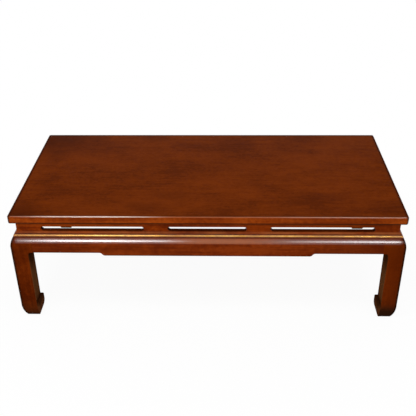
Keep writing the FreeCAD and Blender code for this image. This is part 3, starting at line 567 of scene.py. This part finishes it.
def gilt_finish():
    """Worn gilding: gold over a red ground on the bead, with grime and painted shade in the quirks and on the
    fillet.
    """
    f = Finish("gilt")
    wear = f.cloud(42.0, 4.0, 0.65, 0.4, shift=(2.0, 5.0, 1.0))
    long_wear = f.cloud(7.0, 2.0, shift=(7.0, 1.0, 3.0))
    patches = f.rise(f.mixture((0.6, wear), (0.4, long_wear)), 0.46, 0.58)
    patches = f.larger(patches, f.fall(f.x, -0.62, -0.50, 0.9))
    gold = f.blend(f.rise(wear, 0.35, 0.65), DULL_GOLD, BRIGHT_GOLD)
    gold = f.laid(gold, RED_GROUND, patches, 0.55)
    # Off the bead: grime, and painted shade in the quirks and along the bead's upper edge.
    dirt_and_shade = f.blend(f.rise(f.cloud(160.0, 3.0, 0.6), 0.4, 0.6), DARK_DIRT_AND_SHADE, PALE_DIRT_AND_SHADE)
    bead = f.between(f.z, BEAD_LOW + 0.0001, BEAD_HIGH - 0.0015, 0.0004)
    colour = f.blend(bead, dirt_and_shade, gold)
    colour = f.laid(colour, DARK_GLAZE_AND_SHADE, specks(f, 190.0, 0.2, 0.72), 0.8)
    metal = f.times(bead, f.rise(patches, 0.0, 1.0, 0.75, 0.25))
    roughness = f.rise(bead, 0.0, 1.0, 0.6, 0.31)
    return f.surface(colour, roughness, f.relief(wear, 0.00018), metal=metal, gloss=0.3)


def shoulder_polish(f):
    """One on the bulge of an apron's or leg's shoulder, which hands have polished, and less on its top."""
    bulge = f.rise(f.z, APRON_TOP - 0.0195, APRON_TOP - 0.0155)
    return f.times(bulge, f.rise(f.z, APRON_TOP - 0.0040, APRON_TOP - 0.0005, 1.0, 0.15))


def shoulder_top(f):
    """One in the line where the moulding sits on an apron or leg, nothing below it."""
    return f.rise(f.z, APRON_TOP - 0.0025, APRON_TOP)


# An apron's darker ends, and the paler middle of its shoulder: polish thinned there, and a painted highlight.
APRON_END, SHOULDER_WEAR_AND_HIGHLIGHT = (0.085, 0.0095, 0.0006), (0.34, 0.092, 0.022)


def apron_finish(along):
    """Apron: stained wood, polished by hands on its shoulder's bulge, darker at its ends and lower edge."""
    f = Finish("apron_wood_" + along)
    colour, pores, height = wood_body(f, along, APRON_STAIN, cloud_scale=6.5)
    middle, end = (f.x, HALF_LENGTH) if along == "X" else (f.y, HALF_WIDTH)
    way_out = f.times(f.reckon("ABSOLUTE", middle), 1 / (end - JOINT_LINE))
    colour = f.laid(colour, APRON_END, f.rise(way_out, 0.55, 1.0), 0.45)
    colour = f.laid(colour, APRON_END, f.rise(f.x, 0.25, 0.60), 0.35)
    # Darker along the lower edges.
    drop_edge = f.fall(f.z, DROP_FOOT + 0.0012, DROP_FOOT + 0.0052)
    past_drop = f.rise(way_out, DROP_SHARE - 0.01, DROP_SHARE + 0.01)
    end_edge = f.times(f.fall(f.z, APRON_FOOT + 0.0006, APRON_FOOT + 0.0046), past_drop)
    colour = f.laid(colour, DARK_GLAZE_AND_SHADE, f.larger(drop_edge, end_edge), 0.55)
    # Painted shade where the moulding sits on the apron.
    colour = f.laid(colour, DARK_GLAZE_AND_SHADE, shoulder_top(f), 0.25)
    colour = f.laid(colour, DARK_GLAZE_AND_SHADE, specks(f), 0.6)
    # Painted shade on the top of the apron behind the moulding.
    back = f.times(f.rise(f.inset(), 0.004, 0.010), f.fall(f.z, APRON_TOP - 0.006, APRON_TOP - 0.001))
    colour = f.laid(colour, DARK_GLAZE_AND_SHADE, back, 0.75)
    polish = shoulder_polish(f)
    # Paler middle of the shoulder: partly polish thinned by wear, partly a painted highlight.
    worn_and_lit = f.times(polish, f.fall(f.away(middle, 0.05), 0.05, 0.25))
    colour = f.laid(colour, SHOULDER_WEAR_AND_HIGHLIGHT, worn_and_lit, 0.6)
    polish = f.times(polish, f.rise(worn_and_lit, 0.0, 1.0, 1.0, 0.45))
    return f.surface(colour, f.plus(0.36, f.times(pores, 0.2)), f.relief(height, FILLED_GRAIN), coat=polish,
                     **SHOULDER_POLISH)


# A leg's paler right end, its head, the darker strip along its outer side, its hoof and its sole.
LEG_PALE, LEG_HEAD, LEG_OUTER = (0.175, 0.0260, 0.0020), (0.150, 0.0215, 0.0014), (0.070, 0.0085, 0.0008)
HOOF, SOLE = (0.045, 0.0130, 0.0038), (0.026, 0.0090, 0.0036)

# A leg's inner sides, in painted shade: dark at head and foot, painted reflected light half way up, brown in
# the hoof's toe.
INNER_DARK, INNER_LIT = (0.038, 0.0135, 0.0045), (0.114, 0.0440, 0.0145)
INNER_TOE = (0.082, 0.0250, 0.0080)

# Heights on a leg between which its finish changes: at the sole, darker at the right end, at the toe, in the
# crook above it, over the hoof, under the apron and at the head. The painted light on its inner sides is
# brightest at one height, and those sides start between two distances inwards.
LEFT_SOLE, RIGHT_SOLE, TOE, CROOK = (0.004, 0.026), (0.026, 0.070), (0.038, 0.054), (0.052, 0.070)
OVER_HOOF, UNDER_APRON, HEAD = (0.006, 0.100), (0.258, 0.266), (0.250, 0.300)
LIT_HEIGHT, INNER_SIDE = 0.14, (0.0480, 0.0492)

# A painted glint, pale, on the left of the front where the apron's joint has opened, by its x, heights and
# colour.
TICK_X, TICK_LOW, TICK_HIGH, JOINT_GLINT = leg_high.x, 0.3090, 0.3185, (0.62, 0.50, 0.42)


def inner_leg_shade(f, colour, across, deep):
    """Lays painted shade over a leg's inner sides, up to the apron's foot, with painted reflected light half
    way up.
    """
    half_lit = f.fall(f.away(f.z, LIT_HEIGHT), 0.03, 0.11)
    shade = f.blend(half_lit, INNER_DARK, INNER_LIT)
    shade = f.blend(f.fall(f.z, *TOE), shade, INNER_TOE)
    # Painted shade in the crook above the toe.
    shade = f.laid(shade, DARK_GLAZE_AND_SHADE, f.between(f.z, *CROOK, 0.007), 0.75)
    inner = f.times(f.rise(f.larger(across, deep), *INNER_SIDE), f.fall(f.z, *UNDER_APRON))
    return f.laid(colour, shade, inner, 0.90)


def leg_finish():
    """Leg: stained wood with upright grain, darker at the hoof and along the arris, painted shade on the
    inner sides.
    """
    f = Finish("leg_wood")
    colour, pores, height = wood_body(f, "Z", LEG_STAIN, cloud_scale=9.0)
    right_end = f.rise(f.x, -0.2, 0.2)
    across, deep = f.inwards()
    colour = f.laid(colour, LEG_PALE, right_end, 0.38)
    colour = f.laid(colour, LEG_HEAD, f.rise(f.z, *HEAD), 0.15)
    colour = f.laid(colour, HOOF, f.fall(f.z, *OVER_HOOF), 0.62)
    outer_strip = f.times(f.fall(across, 0.006, 0.042), f.rise(f.x, -0.2, 0.2, 0.10, 0.42))
    colour = f.blend(outer_strip, colour, LEG_OUTER)
    left_sole, right_sole = f.fall(f.z, *LEFT_SOLE, 0.62), f.fall(f.z, *RIGHT_SOLE, 0.96)
    colour = f.blend(f.larger(left_sole, f.times(right_sole, right_end)), colour, SOLE)
    colour = inner_leg_shade(f, colour, across, deep)
    arris = f.times(f.fall(f.away(across, deep), 0.003, 0.010), f.fall(across, 0.02, 0.03))
    colour = f.laid(colour, DARK_GLAZE_AND_SHADE, arris, 0.85)
    colour = f.laid(colour, DARK_GLAZE_AND_SHADE, specks(f), 0.6)
    # Painted shade where the moulding sits on the leg.
    colour = f.laid(colour, DARK_GLAZE_AND_SHADE, shoulder_top(f), 0.25)
    # Painted glint on the joint, within the shoulder's highlight.
    joint_glint = f.times(f.between(f.x, TICK_X - 0.0008, TICK_X + 0.0008, 0.0006),
                   f.between(f.z, TICK_LOW, TICK_HIGH, 0.001))
    colour = f.blend(f.times(joint_glint, f.fall(f.y, -0.1, 0.0, 0.8)), colour, JOINT_GLINT)
    polish = f.times(shoulder_polish(f), f.fall(f.inset(), 0.006, 0.010))
    polish = f.times(polish, f.rise(f.larger(across, deep), 0.006, 0.024, 0.05, 1.0))
    return f.surface(colour, f.plus(0.38, f.times(pores, 0.2)), f.relief(height, FILLED_GRAIN), coat=polish,
                     gloss=0.0, **SHOULDER_POLISH)


def plain_wood_finish(name, along, stain):
    """Unfinished framing wood: sawn grain and dust, no polish."""
    f = Finish(name)
    colour, _, height = wood_body(f, along, stain, stretch=12.0)
    dust = f.rise(f.cloud(30.0, 3.0, 0.6), 0.45, 0.75)
    colour = f.laid(colour, stain.light, dust, 0.35)
    return f.surface(colour, 0.75, f.relief(height, SAWN_GRAIN), gloss=0.2)


ZINC_DULL, ZINC_BRIGHT, RUST = (0.42, 0.41, 0.38), (0.60, 0.58, 0.54), (0.20, 0.08, 0.03)


def steel_finish():
    """Zinc-plated steel, dulled, with a few rust freckles."""
    f = Finish("screw_steel")
    tarnish = f.cloud(260.0, 4.0, 0.6)
    colour = f.blend(f.rise(tarnish, 0.4, 0.7), ZINC_DULL, ZINC_BRIGHT)
    freckles = f.rise(f.cloud(420.0, 3.0, 0.6), 0.62, 0.72)
    colour = f.laid(colour, RUST, freckles, 0.5)
    roughness = f.rise(tarnish, 0.3, 0.7, 0.30, 0.48)
    return f.surface(colour, roughness, f.relief(tarnish, 0.00004), metal=0.9, gloss=0.5)


def dressed(piece, node, material):
    """The piece rides on the table, stands for its node and carries its finish."""
    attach(piece, "root")
    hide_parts(node)
    piece.data.materials.append(material)
    return piece


def ease(piece, width, segments, by_weight=False):
    """Eases the arrises of a piece by a small bevel."""
    bevel = piece.modifiers.new("arris", "BEVEL")
    bevel.width = width
    bevel.segments = segments
    bevel.limit_method = "WEIGHT" if by_weight else "ANGLE"
    bevel.angle_limit = math.radians(ARRIS_ANGLE)
    bevel.harden_normals = True


def weigh_normals(piece):
    """Shades the flat faces flat and leaves the bend to the small faces between them."""
    normals = piece.modifiers.new("normals", "WEIGHTED_NORMAL")
    normals.keep_sharp = True


def arc_points(centre, radius, start, end, steps):
    """Points of an arc in (inset, height): centre plus radius times cosine and sine of the angle."""
    angles = np.radians(np.linspace(start, end, steps + 1))
    return [(centre[0] + radius * math.cos(angle), centre[1] + radius * math.sin(angle)) for angle in angles]


def closed_tube(name, points, sharp_angle):
    """A grid of points as a tube, closed round its first direction and shut by a flat face at both ends.

    Each face joins two neighbours of one row to the same two of the next, and the last row to the first.
    """
    around, along = points.shape[:2]
    first = np.arange(around)[:, None] * along + np.arange(along - 1)[None]
    following = np.roll(first, -1, axis=0)
    faces = np.stack([first, first + 1, following + 1, following], axis=2).reshape(-1, 4).tolist()
    ends = [list(range(0, around * along, along)), list(range(along - 1, around * along, along))]
    mesh = bpy.data.meshes.new(name)
    mesh.from_pydata(points.reshape(-1, 3).tolist(), [], faces + ends)
    turn_outwards(mesh)
    mesh.shade_smooth()
    if sharp_angle:
        mesh.set_sharp_from_angle(angle=math.radians(sharp_angle))
    return put_in_scene(name, mesh)


def turn_outwards(mesh):
    """Merges the points that coincide, drops faces of no area and turns the rest outwards."""
    work = bmesh.new()
    work.from_mesh(mesh)
    bmesh.ops.remove_doubles(work, verts=work.verts, dist=1e-6)
    bmesh.ops.dissolve_degenerate(work, dist=1e-6, edges=work.edges)
    bmesh.ops.recalc_face_normals(work, faces=work.faces)
    work.to_mesh(mesh)
    work.free()


def carried_along_side(name, profile, turns, corner_radius=0.0, steps=6, sharp_angle=SHARP_ANGLE):
    """A closed profile of (inset, height) carried along one side of the top, from mitre to mitre.

    Each profile point runs along half a corner's arc, a straight and half the next arc, all of them its
    inset inside the top's sides. The arc's radius is corner_radius less the inset, or nothing where that is
    negative. The front's points are then turned by quarter turns about the upright middle axis.
    """
    half, edge = (HALF_WIDTH, HALF_LENGTH) if turns % 2 else (HALF_LENGTH, HALF_WIDTH)
    inset, height = np.array(profile).T[:, :, None]
    centre = np.maximum(corner_radius, inset)
    radius = centre - inset
    left = np.radians(np.linspace(225, 270, steps + 1))
    right = np.radians(np.linspace(270, 315, steps + 1))
    x = np.hstack([radius * np.cos(left) - (half - centre), radius * np.cos(right) + (half - centre)])
    y = np.hstack([radius * np.sin(left), radius * np.sin(right)]) - (edge - centre)
    quarter = turns * math.pi / 2
    points = np.stack([x * math.cos(quarter) - y * math.sin(quarter),
                       x * math.sin(quarter) + y * math.cos(quarter),
                       np.broadcast_to(height, x.shape)], axis=2)
    return closed_tube(name, points, sharp_angle)


def arris_start():
    """Angle, in degrees above level, at which the veneer's underside cuts the arc of the upper arris."""
    return math.degrees(math.asin((VENEER_UNDERSIDE - TABLE_TOP + TOP_ARRIS) / TOP_ARRIS))


def make_veneer(material):
    """A rounded rectangle in plan for each step of the eased arris, closed by flat faces above and below.

    At an inset, each corner is a quarter arc whose centre is TOP_CORNER in from both sides and whose radius
    is TOP_CORNER less the inset.
    """
    profile = arc_points((TOP_ARRIS, TABLE_TOP - TOP_ARRIS), TOP_ARRIS, 180 - arris_start(), 90, 8)
    inset, height = np.array(profile).T
    steps = 9
    angles = np.radians(np.add.outer(np.arange(4) * 90.0 + 180, np.linspace(0, 90, steps))).reshape(-1, 1)
    middle_x = np.repeat([-1, 1, 1, -1], steps)[:, None] * (HALF_LENGTH - TOP_CORNER)
    middle_y = np.repeat([-1, -1, 1, 1], steps)[:, None] * (HALF_WIDTH - TOP_CORNER)
    radius = TOP_CORNER - inset
    x, y = middle_x + radius * np.cos(angles), middle_y + radius * np.sin(angles)
    points = np.stack([x, y, np.broadcast_to(height, x.shape)], axis=2)
    piece = closed_tube("veneer_finished", points, SHARP_ANGLE)
    weigh_normals(piece)
    return dressed(piece, "top_veneer", material)


def make_lipping(side, turns, material):
    """Edge strip: eased arris, upright side, rounded underside and the groove for the core's tongue."""
    groove = LIPPING_WIDTH - TONGUE_LENGTH
    profile = [(LIPPING_WIDTH, VENEER_UNDERSIDE)]
    profile += arc_points((TOP_ARRIS, TABLE_TOP - TOP_ARRIS), TOP_ARRIS, 180 - arris_start(), 180, 6)
    profile += arc_points((UNDER_ARRIS, UNDER_TOP + UNDER_ARRIS), UNDER_ARRIS, 180, 270, 10)
    profile += [(LIPPING_WIDTH, UNDER_TOP), (LIPPING_WIDTH, TONGUE_LOW), (groove, TONGUE_LOW),
                (groove, TONGUE_HIGH), (LIPPING_WIDTH, TONGUE_HIGH)]
    piece = carried_along_side("lipping_%s_finished" % side, profile, turns, TOP_CORNER)
    weigh_normals(piece)
    return dressed(piece, "lipping_" + side, material)


def make_moulding(side, turns, material):
    """Bead between two quirks over a fillet.

    The bead's arc runs from its foot to its head. Its centre lies on the inner side of the chord between
    them, at the root of the radius squared less half the chord squared from the chord's middle.
    """
    foot, head = np.array([BEAD_FOOT, BEAD_LOW]), np.array([BEAD_HEAD, BEAD_HIGH])
    chord = head - foot
    half_chord = np.hypot(*chord) / 2
    inner_side = np.array([chord[1], -chord[0]]) / (2 * half_chord)
    centre = (foot + head) / 2 + inner_side * math.sqrt(BEAD_RADIUS ** 2 - half_chord ** 2)
    start, end = [math.degrees(math.atan2(rise, run)) % 360 for run, rise in (foot - centre, head - centre)]
    deep_foot, deep_head = BEAD_FOOT + QUIRK_DEPTH, BEAD_HEAD + QUIRK_DEPTH
    profile = [(MOULDING_FOOT, APRON_TOP), (MOULDING_FOOT, FILLET_TOP), (deep_foot, FILLET_TOP),
               (deep_foot, BEAD_LOW)]
    profile += arc_points(tuple(centre), BEAD_RADIUS, start, end, 14)
    profile += [(deep_head, BEAD_HIGH), (deep_head, WAIST_FOOT), (WAIST_BACK, WAIST_FOOT),
                (WAIST_BACK, APRON_TOP)]
    piece = carried_along_side("gilt_moulding_%s_finished" % side, profile, turns, steps=1, sharp_angle=None)
    ease(piece, MOULDING_ARRIS, 1)
    weigh_normals(piece)
    return dressed(piece, "gilt_moulding_" + side, material)


def finished(node, material, width=PLAIN_ARRIS, segments=2, share_of=None):
    """A smooth copy of a node with its arrises eased, which stands for the node.

    Where share_of is given, an arris takes that share of the width, worked out from the middle of the edge.
    """
    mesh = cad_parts[node].data.copy()
    mesh.name = node + "_finished"
    mesh.materials.clear()
    work = bmesh.new()
    work.from_mesh(mesh)
    bmesh.ops.remove_doubles(work, verts=work.verts, dist=1e-5)
    bmesh.ops.dissolve_limit(work, angle_limit=math.radians(FLAT_ANGLE), verts=work.verts, edges=work.edges)
    if share_of:
        weight = work.edges.layers.float.new("bevel_weight_edge")
        for edge in work.edges:
            if edge.is_manifold and edge.calc_face_angle() > math.radians(ARRIS_ANGLE):
                edge[weight] = share_of((edge.verts[0].co + edge.verts[1].co) / 2)
    work.to_mesh(mesh)
    work.free()
    mesh.shade_smooth()
    piece = put_in_scene(node + "_finished", mesh)
    ease(piece, width, segments, bool(share_of))
    weigh_normals(piece)
    return dressed(piece, node, material)


# How near an edge's middle has to be to a joint's face or to the mitre to count as lying on it.
NEAR_JOINT, NEAR_MITRE = 0.0003, 0.0002


def leg_arris_share(middle):
    """The outer upright arris of a leg is rounded fully, its joints hardly at all, the rest lightly."""
    across, deep = HALF_LENGTH - abs(middle.x), HALF_WIDTH - abs(middle.y)
    if abs(across - deep) < NEAR_MITRE and across < 0.02:
        return 1.0
    if max(across, deep) > JOINT_LINE - NEAR_JOINT or middle.z > APRON_TOP - NEAR_JOINT:
        return 0.04
    return 0.20


def apron_arris_share(middle):
    """An apron's lower arrises are eased, and its joints hardly at all."""
    across, deep = HALF_LENGTH - abs(middle.x), HALF_WIDTH - abs(middle.y)
    if max(across, deep) < JOINT_LINE + NEAR_JOINT or middle.z > APRON_TOP - NEAR_JOINT:
        return 0.1
    return 1.0


def make_table():
    """Dresses every piece. Grain runs along X in pieces of the front and back, and along Y at the ends."""
    edge_woods = {along: lipping_finish(along) for along in "XY"}
    waist_woods = {along: waist_finish(along) for along in "XY"}
    apron_woods = {along: apron_finish(along) for along in "XY"}
    hidden_woods = {along: plain_wood_finish("hidden_wood_" + along, along, FRAMING_WOOD) for along in "XY"}
    gilt, leg_wood, steel = gilt_finish(), leg_finish(), steel_finish()
    make_veneer(veneer_finish())
    finished("top_core", plain_wood_finish("core_board", "X", CORE_WOOD), CORE_ARRIS, 1)
    for turns, side in enumerate(SIDES):
        along = "Y" if turns % 2 else "X"
        make_lipping(side, turns, edge_woods[along])
        make_moulding(side, turns, gilt)
        finished("waist_" + side, waist_woods[along], WAIST_ARRIS)
        finished("apron_" + side, apron_woods[along], APRON_ARRIS, 2, apron_arris_share)
        finished("top_cleat_" + side, hidden_woods[along])
    for corner in CORNERS:
        finished("leg_" + corner, leg_wood, LEG_ARRIS, 4, leg_arris_share)
        finished("corner_block_" + corner, hidden_woods["X"])
    for side in ("left", "right"):
        finished("top_batten_" + side, hidden_woods["Y"])
    for node in ("top_screws", "block_screws", "lag_screws", "lag_washers"):
        finished(node, steel, SMALL_ARRIS, 1)
    finished("waist_dowels", plain_wood_finish("dowel_wood", "Z", BEECH), SMALL_ARRIS, 1)


def main():
    make_camera()
    make_floor()
    make_world()
    make_lamps()
    make_table()
    bpy.context.scene.view_settings.view_transform = "Standard"


main()
